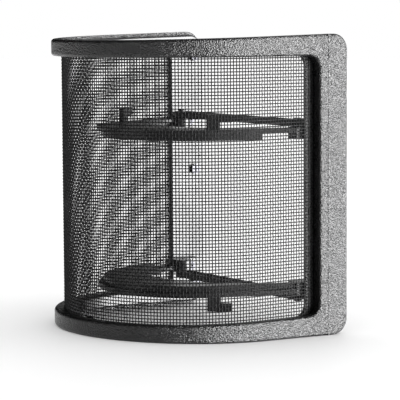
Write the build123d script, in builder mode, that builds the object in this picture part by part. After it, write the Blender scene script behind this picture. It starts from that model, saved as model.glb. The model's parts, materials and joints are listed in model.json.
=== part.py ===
"""U-shaped pop filter for a side-address microphone.

A woven wire screen is bent into a half cylinder with straight legs. A moulded outer frame shows all round
it, and an inner frame behind the screen clamps its edge. Two crescent brackets inside the U are the rests that
the microphone leans on. An elastic band stretches across the open side on each bracket, and holds the
microphone.

Millimetres, +Z up. The frame stands on its flat bottom, the closed curve faces -Y and the open side faces +Y.
The origin is at the middle of the footprint, on the surface that the frame stands on.

The frame is taller at the legs than at the curve, so its top and bottom faces diverge. Everything inside is
square to the plane halfway between the two faces, and each sketch below is placed from that middle plane:
its local x is across the frame, its local y runs from the curve to the legs, and its local z is up.
"""

import os
from math import cos, radians, sin, sqrt, tan

from build123d import *

os.makedirs("parts", exist_ok=True)

# ---- overall size of the outer frame ----
frame_width = 101.5
frame_depth = 88.65  # from the outside of the curve to the ends of the legs
frame_height = 110.0  # at the centre of the curve, halfway along
face_angle = 2.45  # degrees between the top and the bottom face

# ---- outer frame ----
outer_wall = 3.6
rail_height = 7.2  # top and bottom rails, at the centre of the curve
leg_rail_width = 12.95
leg_corner_radius = 6.0
window_corner_radius = 4.5
frame_edge_radius = 1.1
parting_line_gap = 4.0  # from the window to the mould's parting line, on the outside of each leg
parting_line_width = 0.5
parting_line_height = 0.1

# ---- wire screen ----
screen_thickness = 0.82  # two wires
screen_gap = 0.05  # between the screen and each frame
screen_end_margin = 2.5  # the screen stops short of the outer frame's faces and leg ends

# ---- inner frame ----
inner_wall = 2.0
inner_step = 1.3  # its edges stop short of the outer frame's faces
inner_end_gap = 0.5  # its legs stop short of the outer frame's leg ends
inner_window_margin = 0.6  # its window is taller than the outer frame's, each side
inner_leg_rail_width = 15.6
inner_edge_radius = 0.8

# ---- brackets ----
bracket_thickness = 4.2
upper_bracket_drop = 30.7  # from the top of the window down to its flat side
lower_bracket_rise = 11.8  # from the bottom of the window up to its flat side
crescent_gap = 10.9  # from the inner frame to the crescent's front
crescent_centre = 3.0  # behind the centre of the curve
rest_front = 11.5  # from the centre of the curve forward to the middle of the microphone's rest
arm_width = 5.0  # at the arm's end, between the rest and the leg
plate_thickness = 1.8
skirt_inset = 1.9  # the skirt stands this far inside the plate's edge
skirt_wall = 1.8
foot_thickness = 2.4
foot_height = 6.4
foot_length = 13.4
foot_slope = 6.0
foot_end_gap = 5.0  # the feet stop short of the outer frame's leg ends
foot_gap = 0.05  # between a foot and the inner frame

# ---- hooks and posts on the brackets ----
hook_angle = 69.1  # degrees either side of the crescent's middle
hook_inset = 3.4  # from the crescent's edge to the hook's stem
hook_turn = 53.0  # degrees from across the frame towards the legs
hook_length = 9.2
hook_stem = 5.0
hook_width = 1.9
hook_throat = 2.5
hook_head = 3.0
post_end_gap = 14.3  # from the posts to the outer frame's leg ends
post_radius = 1.5
post_height = 3.4
post_pad_radius = 3.4

# ---- elastic bands ----
band_thickness = 1.2
band_height = 2.4
band_clearance = 0.3  # from its post and from its bracket
band_side_gap = 0.35  # between the end of a band and the foot beside it

# ---- self-tapping screws ----
screw_radius = 1.05
screw_head_radius = 2.0
screw_head_height = 1.3
screw_grip = 2.3  # how far each screw runs into the outer frame
screw_hole_clearance = 0.05
recess_width = 0.5
recess_length = 2.2
recess_depth = 0.7
rail_screw_angles = (-54, 0, 54)  # degrees either side of the middle of the curve
rail_screw_inset = 3.9  # from the outer frame's face to the screw
leg_screw_inset = 9.0  # from the frame's top and bottom, at the centre of its length
leg_screw_end = 4.6  # from the outer frame's leg end to the screw
foot_screw_end = 3.975  # from the foot's end to the screw

# ---- worked out from the sizes above ----
outer_radius = frame_width / 2
leg_length = frame_depth - outer_radius
tilt = face_angle / 2
half_height = frame_height / 2
screen_radius = outer_radius - outer_wall - screen_gap
inner_radius = screen_radius - screen_thickness - screen_gap
inner_face = inner_radius - inner_wall
window_half = half_height - rail_height
window_end = leg_length - leg_rail_width
apex_half_height = half_height - outer_radius * tan(radians(tilt))
upper_bracket_height = window_half - upper_bracket_drop
lower_bracket_depth = window_half - lower_bracket_rise
foot_end = leg_length - foot_end_gap
foot_start = foot_end - foot_length
post_y = leg_length - post_end_gap

# for choosing edges
tolerance = 0.01
shortest_edge = 1.0
edge_samples = (0.05, 0.5, 0.95)  # where along an edge its distance from a wall is looked at

# The footprint is centred: the curve leans forward at the top and the leg ends lean back at the bottom.
lean = sin(radians(tilt))
front_reach = outer_radius + apex_half_height * lean
back_reach = leg_length + (half_height - leg_corner_radius) * lean
curve_centre_y = (front_reach - back_reach) / 2

middle = Plane(
    origin=(0, curve_centre_y, half_height * cos(radians(tilt))),
    x_dir=(1, 0, 0),
    z_dir=(0, -lean, cos(radians(tilt))),
)
side = Plane(origin=middle.origin, x_dir=middle.y_dir, z_dir=middle.x_dir)


def u_wall(radius, wall, leg_end):
    """Sketch of a U-shaped wall: a half circle of this outer radius, and two legs towards +Y."""
    inside = radius - wall
    with BuildSketch() as wall_sketch:
        with BuildLine():
            Line((radius, leg_end), (radius, 0))
            ThreePointArc((radius, 0), (0, -radius), (-radius, 0))
            Polyline((-radius, 0), (-radius, leg_end), (-inside, leg_end), (-inside, 0))
            ThreePointArc((-inside, 0), (0, -inside), (inside, 0))
            Polyline((inside, 0), (inside, leg_end), (radius, leg_end))
        make_face()
    return wall_sketch.sketch


def side_outline(margin, leg_end, corner):
    """Sketch of the frame seen from the side, this far inside its faces, with rounded corners at the legs."""
    front = -frame_width
    front_half = half_height + front * tan(radians(tilt)) - margin
    end_half = half_height + leg_end * tan(radians(tilt)) - margin
    with BuildSketch() as outline:
        with BuildLine():
            Polyline(
                (front, -front_half),
                (leg_end, -end_half),
                (leg_end, end_half),
                (front, front_half),
                close=True,
            )
        make_face()
        fillet(outline.vertices().group_by(Axis.X)[-1], radius=corner)
    return outline.sketch


def window_outline(end, half, corner):
    """Sketch of the window seen from the side, open past the curve, with rounded corners at the legs."""
    with BuildSketch() as outline:
        with BuildLine():
            Polyline(
                (-frame_width, -half), (end, -half), (end, half), (-frame_width, half), close=True
            )
        make_face()
        fillet(outline.vertices().group_by(Axis.X)[-1], radius=corner)
    return outline.sketch


def edges_on_wall(part, radius):
    """Edges of the part that lie on a U-shaped wall of this radius, apart from the very short ones."""

    def off_wall(point):
        local = middle.to_local_coords(point)
        return abs(sqrt(local.X**2 + min(local.Y, 0) ** 2) - radius)

    return [
        edge
        for edge in part.edges()
        if edge.length > shortest_edge and all(off_wall(edge @ t) < tolerance for t in edge_samples)
    ]


def rail_place(radius, angle, height):
    """Plane on a cylindrical wall, whose normal points at the axis of the curve."""
    a = radians(angle)
    return Plane(
        origin=middle.from_local_coords((radius * sin(a), -radius * cos(a), height)),
        x_dir=middle.z_dir,
        z_dir=middle.x_dir * -sin(a) + middle.y_dir * cos(a),
    )


def leg_place(across, along, height):
    """Plane on the wall of a leg, whose normal points across the frame, at the other leg."""
    return Plane(
        origin=middle.from_local_coords((across, along, height)),
        x_dir=middle.z_dir,
        z_dir=middle.x_dir * (-1 if across > 0 else 1),
    )


# ---- where the screws sit, on the inner frame's inside face and on the bracket feet ----
def rail_screw_height(angle):
    """Height of a rail screw above the middle plane: the rail follows the frame's sloping face."""
    along = -outer_radius * cos(radians(angle))
    return half_height + along * tan(radians(tilt)) - rail_screw_inset


head_seat = sqrt(inner_face**2 - screw_head_radius**2)  # a flat head touches the hollow wall at its rim
frame_screw_places = [
    rail_place(head_seat, angle, level * rail_screw_height(angle))
    for angle in rail_screw_angles
    for level in (-1, 1)
]
frame_screw_places += [
    leg_place(hand * inner_face, leg_length - leg_screw_end, height)
    for hand in (-1, 1)
    for height in (leg_screw_inset - half_height, 0, half_height - leg_screw_inset)
]

foot_face = inner_face - foot_gap - foot_thickness
upper_foot_height = upper_bracket_height + foot_height / 2
lower_foot_height = -lower_bracket_depth - foot_height / 2
foot_screw_y = foot_end - foot_screw_end
bracket_screw_places = [
    leg_place(hand * foot_face, foot_screw_y, height)
    for hand in (-1, 1)
    for height in (lower_foot_height, upper_foot_height)
]

frame_screw_length = inner_wall + screen_thickness + 2 * screen_gap + screw_grip
bracket_screw_length = frame_screw_length + foot_thickness + foot_gap
screw_hole_radius = screw_radius + screw_hole_clearance

# ---- outer frame: a moulded U-shaped wall with one window that runs from leg to leg ----
with BuildPart() as outer_frame:
    with BuildSketch(middle):
        add(u_wall(outer_radius, outer_wall, leg_length))
    extrude(amount=frame_height, both=True)
    with BuildSketch(side):
        add(side_outline(0, leg_length, leg_corner_radius))
    extrude(amount=frame_width, both=True, mode=Mode.INTERSECT)
    with BuildSketch(side):
        add(window_outline(window_end, window_half, window_corner_radius))
    extrude(amount=frame_width, both=True, mode=Mode.SUBTRACT)
    # the outside edges are rounded, those of the outline and those of the window
    fillet(edges_on_wall(outer_frame, outer_radius), radius=frame_edge_radius)
    # the mould's parting line stands a little proud on each leg, from face to face
    for hand in (-1, 1):
        with BuildSketch(side.offset(hand * (outer_radius - parting_line_width))):
            add(side_outline(0, leg_length, leg_corner_radius))
            with Locations((window_end + parting_line_gap, 0)):
                Rectangle(parting_line_width, 2 * frame_height, mode=Mode.INTERSECT)
        extrude(amount=hand * (parting_line_width + parting_line_height))
    # pilot holes for the screws, blind, from the inside
    with Locations(*frame_screw_places):
        Hole(radius=screw_hole_radius, depth=frame_screw_length + screw_hole_clearance)
    with Locations(*bracket_screw_places):
        Hole(radius=screw_hole_radius, depth=bracket_screw_length + screw_hole_clearance)
outer_frame.part.label = "outer_frame"
export_step(outer_frame.part, "parts/outer_frame.step")

# ---- wire screen: one sheet of woven wire, bent to the U and held all round between the frames ----
with BuildPart() as wire_screen:
    with BuildSketch(middle):
        add(u_wall(screen_radius, screen_thickness, leg_length - screen_end_margin))
    extrude(amount=apex_half_height - screen_end_margin, both=True)
    with Locations(*frame_screw_places):
        Hole(radius=screw_hole_radius, depth=frame_screw_length)
    with Locations(*bracket_screw_places):
        Hole(radius=screw_hole_radius, depth=bracket_screw_length)
wire_screen.part.label = "wire_screen"
export_step(wire_screen.part, "parts/wire_screen.step")

# ---- inner frame: the clamping frame behind the screen, with wider rails on the legs ----
with BuildPart() as inner_frame:
    with BuildSketch(middle):
        add(u_wall(inner_radius, inner_wall, leg_length - inner_end_gap))
    extrude(amount=frame_height, both=True)
    with BuildSketch(side):
        add(side_outline(inner_step, leg_length - inner_end_gap, leg_corner_radius - inner_end_gap))
    extrude(amount=frame_width, both=True, mode=Mode.INTERSECT)
    with BuildSketch(side):
        add(
            window_outline(
                leg_length - inner_end_gap - inner_leg_rail_width,
                window_half + inner_window_margin,
                window_corner_radius,
            )
        )
    extrude(amount=frame_width, both=True, mode=Mode.SUBTRACT)
    fillet(edges_on_wall(inner_frame, inner_face), radius=inner_edge_radius)
    with Locations(*frame_screw_places):
        Hole(radius=screw_hole_radius, depth=frame_screw_length)
    with Locations(*bracket_screw_places):
        Hole(radius=screw_hole_radius, depth=bracket_screw_length)
inner_frame.part.label = "inner_frame"
export_step(inner_frame.part, "parts/inner_frame.step")

# ---- brackets: crescent shelves with a hollow rest, an arm to each leg, two hooks and two band posts ----
foot_outside = inner_face - foot_gap
post_x = foot_face - band_side_gap - band_thickness - band_clearance - post_radius
crescent_radius = inner_face - crescent_gap + crescent_centre
hook_reach = crescent_radius - hook_inset

# the rest is an arc through the middle of the crescent and the inner corners of the arms
rest_tip = foot_outside - arm_width
rest_rise = post_y + rest_front
rest_radius = (rest_tip**2 + rest_rise**2) / (2 * rest_rise)
rest_centre = rest_radius - rest_front


def crescent(inset):
    """Sketch of the crescent and its arms, this far inside the edge."""
    outer = crescent_radius - inset
    inner = rest_radius + inset
    edge = foot_outside - inset
    end = post_y - inset
    # the arms leave the crescent where a line from the foot touches its outer arc
    foot = Vector(edge, foot_start)
    centre = Vector(0, crescent_centre)
    reach = foot - centre
    touch = sqrt(reach.length**2 - outer**2)
    bend = outer / reach.length
    tangent = centre + reach * bend**2 + Vector(reach.Y, -reach.X) * (bend * touch / reach.length)
    tip = sqrt(inner**2 - (end - rest_centre) ** 2)
    with BuildSketch() as outline:
        with BuildLine():
            Polyline((tip, end), (edge, end), (foot.X, foot.Y), (tangent.X, tangent.Y))
            ThreePointArc(
                (tangent.X, tangent.Y), (0, crescent_centre - outer), (-tangent.X, tangent.Y)
            )
            Polyline((-tangent.X, tangent.Y), (-foot.X, foot.Y), (-edge, end), (-tip, end))
            ThreePointArc((-tip, end), (0, rest_centre - inner), (tip, end))
        make_face()
    return outline.sketch


def build_bracket(plane):
    """A bracket whose skirt stands on this plane, with its hooks on the other side of the plate."""
    top = plane.offset(bracket_thickness)
    under = plane.offset(bracket_thickness - plate_thickness)
    hook_places = [
        Location(
            (
                hand * hook_reach * sin(radians(hook_angle)),
                crescent_centre - hook_reach * cos(radians(hook_angle)),
            ),
            90 - hand * (90 - hook_turn),
        )
        for hand in (-1, 1)
    ]
    with BuildPart() as bracket:
        with BuildSketch(under):
            add(crescent(0))
        extrude(amount=plate_thickness)
        # the skirt stiffens the plate, and keeps a little inside its edge
        with BuildSketch(plane):
            add(crescent(skirt_inset))
            add(crescent(skirt_inset + skirt_wall), mode=Mode.SUBTRACT)
        extrude(amount=bracket_thickness - plate_thickness)
        # round pads carry the posts, at the ends of the arms
        with BuildSketch(plane):
            with Locations((post_x, post_y), (-post_x, post_y)):
                Circle(post_pad_radius)
        extrude(amount=bracket_thickness)
        with BuildSketch(top):
            with Locations((post_x, post_y), (-post_x, post_y)):
                Circle(post_radius)
        extrude(amount=post_height)
        # feet lie along the inside of the legs, and slope down to the plate at the front
        for hand in (-1, 1):
            foot_plane = Plane(
                origin=plane.from_local_coords((hand * (foot_outside - foot_thickness / 2), 0, 0)),
                x_dir=plane.y_dir,
                z_dir=plane.x_dir,
            )
            with BuildSketch(foot_plane):
                with BuildLine():
                    Polyline(
                        (foot_start, 0),
                        (foot_end, 0),
                        (foot_end, foot_height),
                        (foot_start + foot_slope, foot_height),
                        (foot_start, bracket_thickness),
                        close=True,
                    )
                make_face()
            extrude(amount=foot_thickness / 2, both=True)
        # hooks: a stem, and a head that reaches over the throat
        with BuildSketch(under):
            with Locations(*hook_places):
                Rectangle(hook_stem, hook_width)
        extrude(amount=plate_thickness + hook_throat)
        with BuildSketch(top.offset(hook_throat)):
            with Locations(*hook_places):
                with Locations((-hook_stem / 2, 0)):
                    Rectangle(hook_length, hook_width, align=(Align.MIN, Align.CENTER))
        extrude(amount=hook_head)
        with Locations(*bracket_screw_places):
            Hole(radius=screw_hole_radius, depth=bracket_screw_length)
    return bracket


upper_bracket_plane = middle.offset(upper_bracket_height)
lower_bracket_plane = Plane(
    origin=middle.offset(-lower_bracket_depth).origin, x_dir=-middle.x_dir, z_dir=-middle.z_dir
)
upper_bracket = build_bracket(upper_bracket_plane)
upper_bracket.part.label = "upper_bracket"
export_step(upper_bracket.part, "parts/upper_bracket.step")

lower_bracket = build_bracket(lower_bracket_plane)
lower_bracket.part.label = "lower_bracket"
export_step(lower_bracket.part, "parts/lower_bracket.step")


# ---- elastic bands: flat rubber loops, stretched over the two posts of a bracket ----
def build_band(plane):
    """A band round the posts of the bracket whose underside lies on this plane."""
    with BuildPart() as band:
        with BuildSketch(plane.offset(bracket_thickness + band_clearance)):
            with Locations((0, post_y)):
                hole = 2 * (post_radius + band_clearance)
                SlotCenterToCenter(2 * post_x, hole + 2 * band_thickness)
                SlotCenterToCenter(2 * post_x, hole, mode=Mode.SUBTRACT)
        extrude(amount=band_height)
    return band


upper_band = build_band(upper_bracket_plane)
upper_band.part.label = "upper_band"
export_step(upper_band.part, "parts/upper_band.step")

lower_band = build_band(lower_bracket_plane)
lower_band.part.label = "lower_band"
export_step(lower_band.part, "parts/lower_band.step")


# ---- screws: pan heads with a cross recess, self-tapping into the outer frame ----
def build_screws(places, length):
    """One screw at each place, its head standing on the plane and its shank running down from it."""
    with BuildPart() as screws:
        with Locations(*places):
            Cylinder(
                screw_head_radius, screw_head_height, align=(Align.CENTER, Align.CENTER, Align.MIN)
            )
            Cylinder(screw_radius, length, align=(Align.CENTER, Align.CENTER, Align.MAX))
        head_tops = [plane.offset(screw_head_height) for plane in places]
        with Locations(*head_tops):
            for turn in (0, 90):
                Box(
                    recess_length,
                    recess_width,
                    2 * recess_depth,
                    rotation=(0, 0, turn),
                    mode=Mode.SUBTRACT,
                )
    return screws


frame_screws = build_screws(frame_screw_places, frame_screw_length)
frame_screws.part.label = "frame_screws"
export_step(frame_screws.part, "parts/frame_screws.step")

bracket_screws = build_screws(bracket_screw_places, bracket_screw_length)
bracket_screws.part.label = "bracket_screws"
export_step(bracket_screws.part, "parts/bracket_screws.step")
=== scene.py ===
"""Looks for a U-shaped pop filter: a black moulded frame round a screen of woven wire, with two crescent
brackets and two elastic bands inside it. Metres, in the CAD frame: the closed curve faces -Y and +Z is up."""

import json
import math

import bmesh
import bpy
from mathutils import Matrix, Vector


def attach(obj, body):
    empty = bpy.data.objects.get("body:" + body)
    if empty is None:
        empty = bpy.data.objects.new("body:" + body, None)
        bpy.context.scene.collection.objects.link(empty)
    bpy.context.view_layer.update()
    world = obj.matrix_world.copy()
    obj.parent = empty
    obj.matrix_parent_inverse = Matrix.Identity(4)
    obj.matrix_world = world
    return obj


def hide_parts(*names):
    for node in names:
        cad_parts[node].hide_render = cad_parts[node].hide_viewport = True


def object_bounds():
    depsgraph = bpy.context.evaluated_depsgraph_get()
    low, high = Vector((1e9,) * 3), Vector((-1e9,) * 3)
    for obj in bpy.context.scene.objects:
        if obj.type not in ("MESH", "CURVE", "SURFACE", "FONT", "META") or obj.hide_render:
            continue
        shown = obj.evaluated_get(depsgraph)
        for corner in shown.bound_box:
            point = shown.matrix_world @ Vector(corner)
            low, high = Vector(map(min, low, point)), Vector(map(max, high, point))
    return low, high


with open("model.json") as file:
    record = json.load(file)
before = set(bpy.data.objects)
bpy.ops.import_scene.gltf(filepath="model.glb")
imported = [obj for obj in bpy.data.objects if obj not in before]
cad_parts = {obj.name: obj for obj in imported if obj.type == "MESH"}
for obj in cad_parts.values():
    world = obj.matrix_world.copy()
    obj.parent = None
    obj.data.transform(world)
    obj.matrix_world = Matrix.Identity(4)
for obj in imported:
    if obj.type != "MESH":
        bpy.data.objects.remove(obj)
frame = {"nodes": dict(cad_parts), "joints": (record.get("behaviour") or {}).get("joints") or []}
cad_low, cad_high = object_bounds()

MM = 0.001
BODY = "frame"

# ---- outer frame ----
# Injection-moulded black ABS with a fine spark-eroded grain on the faces that show. It is one moulding, a
# U-shaped wall with a window from leg to leg, and it is the CAD shape as it stands.


def link(nodes, out_node, out_name, in_node, in_name):
    nodes.id_data.links.new(out_node.outputs[out_name], in_node.inputs[in_name])


def moulded_plastic(name, colour, roughness, grain_size, grain_height, speckle):
    """Black moulded plastic: a grain of this size and height in metres, with light and dark in it."""
    material = bpy.data.materials.new(name)
    material.use_nodes = True
    nodes = material.node_tree.nodes
    shader = nodes["Principled BSDF"]
    shader.inputs["IOR"].default_value = 1.5
    place = nodes.new("ShaderNodeTexCoord")
    grain = nodes.new("ShaderNodeTexNoise")
    grain.inputs["Scale"].default_value = 1 / grain_size
    grain.inputs["Detail"].default_value = 1.0
    grain.inputs["Roughness"].default_value = 0.65
    link(nodes, place, "Object", grain, "Vector")
    clouds = nodes.new("ShaderNodeTexNoise")
    clouds.inputs["Scale"].default_value = 90.0
    clouds.inputs["Detail"].default_value = 2.0
    link(nodes, place, "Object", clouds, "Vector")
    tone = nodes.new("ShaderNodeValToRGB")
    tone.color_ramp.elements[0].position = 0.35
    tone.color_ramp.elements[0].color = [c * (1 - speckle) for c in colour] + [1]
    tone.color_ramp.elements[1].position = 0.65
    tone.color_ramp.elements[1].color = [c * (1 + speckle) for c in colour] + [1]
    link(nodes, grain, "Fac", tone, "Fac")
    link(nodes, tone, "Color", shader, "Base Color")
    rough = nodes.new("ShaderNodeMapRange")
    rough.inputs["From Min"].default_value = 0.3
    rough.inputs["From Max"].default_value = 0.7
    rough.inputs["To Min"].default_value = roughness - 0.05
    rough.inputs["To Max"].default_value = roughness + 0.05
    link(nodes, clouds, "Fac", rough, "Value")
    link(nodes, rough, "Result", shader, "Roughness")
    bump = nodes.new("ShaderNodeBump")
    bump.inputs["Strength"].default_value = 1.0
    bump.inputs["Distance"].default_value = grain_height
    link(nodes, grain, "Fac", bump, "Height")
    link(nodes, bump, "Normal", shader, "Normal")
    return material


def finish_node(node, material):
    """Give a CAD node this material in place of its own."""
    obj = frame["nodes"][node]
    obj.data.materials.clear()
    obj.data.materials.append(material)
    return obj


frame_black = moulded_plastic(
    "grained_frame_plastic",
    colour=(0.006, 0.006, 0.0063),
    roughness=0.26,
    grain_size=0.5 * MM,
    grain_height=0.5 * MM,
    speckle=0.95,
)
finish_node("outer_frame", frame_black)

# ---- inner frame ----
# The clamping frame behind the screen, the same plastic with a finer, smoother face because it is seen less.
inner_black = moulded_plastic(
    "inner_frame_plastic",
    colour=(0.010, 0.010, 0.0105),
    roughness=0.33,
    grain_size=0.3 * MM,
    grain_height=0.012 * MM,
    speckle=0.25,
)
finish_node("inner_frame", inner_black)

# ---- wire screen ----
# Plain square weave of fine steel wire with a baked black coat. It is woven flat, cut, bent to the U and held
# all round between the two frames, so the wires are modelled one by one along the U.
wire_pitch = 1.18 * MM
wire_radius = 0.205 * MM
wire_sides = 4

# everything inside the frame is square to its middle plane, which leans a little from the level
middle_normal = Vector(frame["joints"][0]["axis"]).normalized()
to_square = middle_normal.rotation_difference(Vector((0, 0, 1))).to_matrix().to_4x4()
from_square = to_square.inverted()


def square_box(node):
    """Lowest and highest corners of a CAD node, measured square to the middle plane."""
    corners = [to_square @ v.co for v in frame["nodes"][node].data.vertices]
    low = Vector([min(c[i] for c in corners) for i in range(3)])
    high = Vector([max(c[i] for c in corners) for i in range(3)])
    return low, high


screen_low, screen_high = square_box("wire_screen")
curve_radius = screen_high.x - 2 * wire_radius
curve_centre = Vector((0, screen_low.y + screen_high.x, 0))
leg_length = screen_high.y - curve_centre.y
u_length = 2 * leg_length + math.pi * curve_radius
screen_height = screen_high.z - screen_low.z
upright_count = round(u_length / wire_pitch)
level_count = round(screen_height / wire_pitch)
across_step = u_length / upright_count
level_step = screen_height / level_count


def along_u(distance, stand_off=0.0):
    """Place and heading on the U at this distance from the end of the +X leg, this far outside its line."""
    if distance < leg_length:
        return Vector((curve_radius + stand_off, curve_centre.y + leg_length - distance, 0)), 0.0
    if distance > u_length - leg_length:
        left = distance - (u_length - leg_length)
        return Vector((-curve_radius - stand_off, curve_centre.y + left, 0)), -math.pi
    turn = (distance - leg_length) / curve_radius
    out = Vector((math.cos(turn), -math.sin(turn), 0))
    return curve_centre + out * (curve_radius + stand_off), -turn


def drawn_wire(stations):
    """Mesh of one wire through these stations, each a point and a turn about Z."""
    bm = bmesh.new()
    (start, first_turn), rest = stations[0], stations[1:]
    lie = Matrix.Identity(4)
    if abs((rest[0][0] - start).normalized().z) < 0.5:
        lie = Matrix.Rotation(math.pi / 2, 4, "X")  # a level wire starts along Y
    made = bmesh.ops.create_circle(
        bm, cap_ends=True, segments=wire_sides, radius=wire_radius, matrix=Matrix.Translation(start) @ lie
    )
    ring = list({e for v in made["verts"] for e in v.link_edges})
    here, turned = start, first_turn
    for point, turn in rest:
        grown = bmesh.ops.extrude_edge_only(bm, edges=ring)["geom"]
        verts = [g for g in grown if isinstance(g, bmesh.types.BMVert)]
        ring = [g for g in grown if isinstance(g, bmesh.types.BMEdge) and all(v in verts for v in g.verts)]
        bmesh.ops.translate(bm, verts=verts, vec=point - here)
        bmesh.ops.rotate(bm, verts=verts, cent=point, matrix=Matrix.Rotation(turn - turned, 3, "Z"))
        here, turned = point, turn
    bmesh.ops.contextual_create(bm, geom=ring)
    bmesh.ops.recalc_face_normals(bm, faces=bm.faces)
    mesh = bpy.data.meshes.new("one_wire")
    bm.to_mesh(mesh)
    bm.free()
    return mesh


def woven_piece(name, strands, material):
    """One object from copies of wires: each strand is a wire's mesh and the matrix that places it."""
    bm = bmesh.new()
    for mesh, place in strands:
        copy = mesh.copy()
        copy.transform(from_square @ place)
        bm.from_mesh(copy)
        bpy.data.meshes.remove(copy)
    piece_mesh = bpy.data.meshes.new(name)
    bm.to_mesh(piece_mesh)
    bm.free()
    piece_mesh.polygons.foreach_set("use_smooth", [True] * len(piece_mesh.polygons))
    piece_mesh.materials.append(material)
    piece = bpy.data.objects.new(name, piece_mesh)
    bpy.context.scene.collection.objects.link(piece)
    return piece


coated_wire = moulded_plastic(
    "black_coated_wire",
    colour=(0.006, 0.006, 0.0063),
    roughness=0.5,
    grain_size=0.6 * MM,
    grain_height=0.004 * MM,
    speckle=0.3,
)
coated_wire.node_tree.nodes["Principled BSDF"].inputs["IOR"].default_value = 1.25

level_heights = [screen_low.z + (row + 0.5) * level_step for row in range(level_count)]
upright_places = [(column + 0.5) * across_step for column in range(upright_count)]


def upright_wire(first_side):
    """An upright wire that weaves from side to side of the screen's line at each level wire."""
    side = first_side
    stations = [(Vector((side * wire_radius, 0, screen_low.z)), 0.0)]
    for height in level_heights:
        stations.append((Vector((side * wire_radius, 0, height)), 0.0))
        side = -side
    stations.append((Vector((-side * wire_radius, 0, screen_high.z)), 0.0))
    return drawn_wire(stations)


def level_wire(first_side):
    """A level wire along the whole U that weaves from side to side at each upright wire."""
    side = first_side
    stations = [along_u(0.0, side * wire_radius)]
    for distance in upright_places:
        stations.append(along_u(distance, side * wire_radius))
        side = -side
    stations.append(along_u(u_length, -side * wire_radius))
    return drawn_wire(stations)


upright_kinds = [upright_wire(1), upright_wire(-1)]
level_kinds = [level_wire(-1), level_wire(1)]
upright_strands = []
for column, distance in enumerate(upright_places):
    place, turn = along_u(distance)
    upright_strands.append(
        (upright_kinds[column % 2], Matrix.Translation(place) @ Matrix.Rotation(turn, 4, "Z"))
    )
level_strands = [
    (level_kinds[row % 2], Matrix.Translation((0, 0, height))) for row, height in enumerate(level_heights)
]
for name, strands in (("upright_wires", upright_strands), ("level_wires", level_strands)):
    wires = woven_piece(name, strands, coated_wire)
    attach(wires, BODY)
    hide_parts("wire_screen")

# ---- brackets ----
# Two crescent shelves in smooth black plastic, each moulded in one piece with its arms, hooks and band posts.
bracket_black = moulded_plastic(
    "bracket_plastic",
    colour=(0.009, 0.009, 0.0095),
    roughness=0.33,
    grain_size=0.35 * MM,
    grain_height=0.012 * MM,
    speckle=0.25,
)
finish_node("upper_bracket", bracket_black)
finish_node("lower_bracket", bracket_black)

# ---- elastic bands ----
# Flat loops cut from black rubber tube, stretched over the posts, with a dull and slightly dusty face.
band_rubber = moulded_plastic(
    "band_rubber",
    colour=(0.014, 0.014, 0.0145),
    roughness=0.62,
    grain_size=0.5 * MM,
    grain_height=0.02 * MM,
    speckle=0.35,
)
finish_node("upper_band", band_rubber)
finish_node("lower_band", band_rubber)

# ---- screws ----
# Small self-tapping pan-head screws in black zinc plate. They run through the inner frame into the outer one.
screw_black = moulded_plastic(
    "black_zinc",
    colour=(0.05, 0.05, 0.055),
    roughness=0.3,
    grain_size=0.4 * MM,
    grain_height=0.004 * MM,
    speckle=0.2,
)
screw_black.node_tree.nodes["Principled BSDF"].inputs["Metallic"].default_value = 1.0
finish_node("frame_screws", screw_black)
finish_node("bracket_screws", screw_black)

# ---- floor, lights and camera ----
# A white studio sweep. One large soft light stands on the right, a weaker one on the left fills, and a wide
# sheet of light overhead is for the floor alone.
scene = bpy.context.scene
scene.view_settings.view_transform = "Standard"
centre = (cad_low + cad_high) / 2


def stage_sheet(name, size, material):
    bm = bmesh.new()
    bmesh.ops.create_grid(bm, x_segments=1, y_segments=1, size=size / 2)
    mesh = bpy.data.meshes.new(name)
    bm.to_mesh(mesh)
    bm.free()
    mesh.materials.append(material)
    sheet = bpy.data.objects.new(name, mesh)
    scene.collection.objects.link(sheet)
    return sheet


floor_white = bpy.data.materials.new("studio_floor")
floor_white.use_nodes = True
floor_shader = floor_white.node_tree.nodes["Principled BSDF"]
floor_shader.inputs["Base Color"].default_value = (0.92, 0.92, 0.92, 1)
floor_shader.inputs["Roughness"].default_value = 0.6
floor_shader.inputs["Specular IOR Level"].default_value = 0.15
floor = stage_sheet("floor", 12.0, floor_white)

world = bpy.data.worlds.new("studio")
scene.world = world
world.use_nodes = True
sky = world.node_tree.nodes["Background"]
sky.inputs["Color"].default_value = (1, 1, 1, 1)


def sky_node(kind, **settings):
    node = world.node_tree.nodes.new(kind)
    for setting, value in settings.items():
        setattr(node, setting, value)
    return node


def sky_ramp(out_node, out_name, start, end, low, high):
    """A smooth step in the sky, from one brightness to another as a value goes from start to end."""
    ramp = sky_node("ShaderNodeMapRange", interpolation_type="SMOOTHSTEP")
    for name, value in (("From Min", start), ("From Max", end), ("To Min", low), ("To Max", high)):
        ramp.inputs[name].default_value = value
    link(ramp, out_node, out_name, ramp, "Value")
    return ramp


# a dim ceiling, a pale backdrop behind the object, and a dark room round the camera
way = sky_node("ShaderNodeTexCoord")
apart = sky_node("ShaderNodeSeparateXYZ")
link(way, way, "Generated", apart, "Vector")
ceiling = sky_ramp(apart, "Z", 0.45, 0.65, 0.01, 0.14)
backdrop_way = sky_node("ShaderNodeVectorMath", operation="DOT_PRODUCT")
link(way, way, "Generated", backdrop_way, 0)
backdrop_azimuth = math.radians(186)
backdrop_way.inputs[1].default_value = (math.sin(backdrop_azimuth), -math.cos(backdrop_azimuth), 0)
backdrop = sky_ramp(backdrop_way, "Value", 0.58, 0.64, 0.0, 0.8)
either = sky_node("ShaderNodeMath", operation="MAXIMUM")
link(either, ceiling, "Result", either, 0)
link(either, backdrop, "Result", either, 1)
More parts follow.
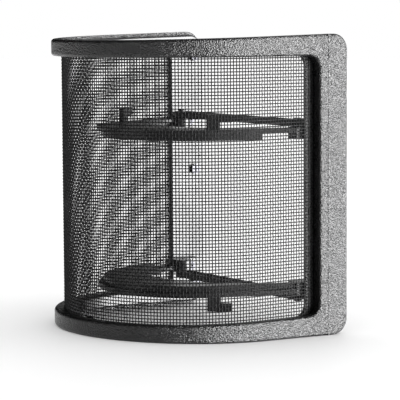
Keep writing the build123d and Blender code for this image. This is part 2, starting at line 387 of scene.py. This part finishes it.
# the camera sees a plain white behind the object, whatever lights it
path = sky_node("ShaderNodeLightPath")
seen = sky_node("ShaderNodeMix", data_type="FLOAT")
link(seen, path, "Is Camera Ray", seen, "Factor")
link(seen, either, "Value", seen, "A")
seen.inputs["B"].default_value = 1.0
link(seen, seen, "Result", sky, "Strength")

# the soft boxes neither light the floor nor are blocked by it
masked = bpy.data.collections.new("masked_floor")
masked.objects.link(floor)
masked.collection_objects[0].light_linking.link_state = "EXCLUDE"
floor_only = bpy.data.collections.new("floor_only")
floor_only.objects.link(floor)


def soft_light(name, azimuth, elevation, distance, width, height, power, receivers, blockers=None):
    """A soft box aimed at the object. Azimuth 0 is at -Y and 90 at +X, as in the views."""
    a, e = math.radians(azimuth), math.radians(elevation)
    out = Vector((math.sin(a) * math.cos(e), -math.cos(a) * math.cos(e), math.sin(e)))
    light = bpy.data.lights.new(name, "AREA")
    light.shape = "RECTANGLE"
    light.size, light.size_y = width, height
    light.energy = power
    obj = bpy.data.objects.new(name, light)
    obj.location = centre + out * distance
    obj.rotation_euler = (-out).to_track_quat("-Z", "Y").to_euler()
    obj.light_linking.receiver_collection = receivers
    obj.light_linking.blocker_collection = blockers
    scene.collection.objects.link(obj)
    return obj


soft_light("key_right", 128, 2, 1.1, width=1.1, height=0.9, power=82, receivers=masked, blockers=masked)
soft_light("fill_left", -22, 0, 1.2, width=0.7, height=0.5, power=2.2, receivers=masked, blockers=masked)
soft_light("overhead", 0, 90, 3.0, width=24.0, height=24.0, power=1950, receivers=floor_only)

view_azimuth, view_elevation, view_roll = 55.8, 4.89, 0.68  # degrees
view_distance = 0.745
aim = centre + Vector((0.0056, 0.0089, -0.0078))
a, e = math.radians(view_azimuth), math.radians(view_elevation)
back = Vector((math.sin(a) * math.cos(e), -math.cos(a) * math.cos(e), math.sin(e)))
camera = bpy.data.objects.new("camera", bpy.data.cameras.new("camera"))
camera.data.sensor_width = 36.0
camera.data.lens = 176.8
camera.data.clip_start, camera.data.clip_end = 0.01, 50.0
camera.location = aim + back * view_distance
turn = (-back).to_track_quat("-Z", "Y").to_matrix() @ Matrix.Rotation(math.radians(view_roll), 3, "Z")
camera.rotation_euler = turn.to_euler()
scene.collection.objects.link(camera)
scene.camera = camera
